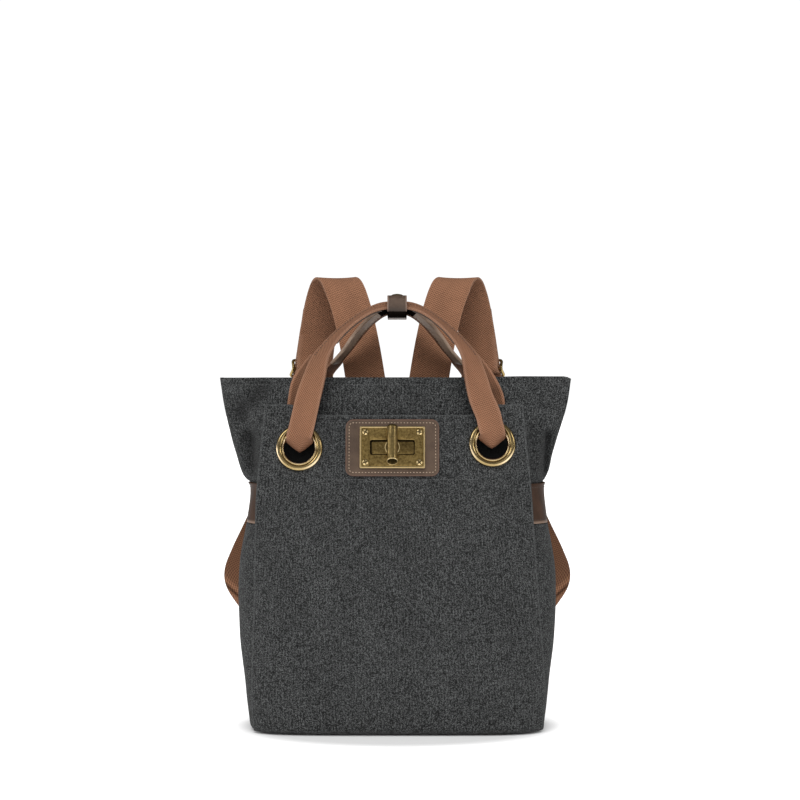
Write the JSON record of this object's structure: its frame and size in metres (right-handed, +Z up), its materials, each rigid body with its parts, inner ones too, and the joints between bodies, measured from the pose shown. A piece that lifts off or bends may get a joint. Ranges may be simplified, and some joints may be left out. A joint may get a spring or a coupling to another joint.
{
  "type": "canvas backpack",
  "caption": "Canvas backpack with a pinched open mouth, a turn lock front panel, side slip pockets, webbing carry handles through eyelets and webbing shoulder straps.",
  "frame": {"origin": "on the surface the bag stands on, under the middle of its bounding box", "axes": "+Z up, +X to the viewer's right when the front is seen, the front faces -Y"},
  "size_m": [0.342, 0.1757, 0.4249],
  "materials": {
    "canvas": "washed charcoal canvas with light flecks",
    "webbing": "tan twill webbing",
    "leather": "dark brown leather, satin",
    "brass": "aged brass"
  },
  "bodies": {
    "bag": {"body": "canvas", "front_panel": "canvas", "side_pocket_left": "canvas", "side_pocket_right": "canvas", "handle_front": "webbing", "handle_rear": "webbing", "shoulder_strap_left": "webbing", "shoulder_strap_right": "webbing", "side_band_left": "leather", "side_band_right": "leather", "lock_patch": "leather", "handle_front_lining": "leather", "handle_rear_lining": "leather", "handle_keeper": "leather", "eyelet_left": "brass", "eyelet_right": "brass", "lock_plate": "brass", "lock_base": "brass", "lock_screw_1": "brass", "lock_screw_2": "brass", "lock_screw_3": "brass", "lock_screw_4": "brass", "keeper_stud": "brass", "strap_slider_left": "brass", "strap_slider_right": "brass"},
    "toggle": {"turn_bar": "brass"}
  },
  "joints": [
    {"name": "lock_turn", "type": "hinge", "parent": "bag", "child": "toggle", "pos_m": [-0.0042, -0.0687, 0.2605], "axis": [-0.0008, -0.9853, 0.171], "range_deg": [0, 90]}
  ]
}
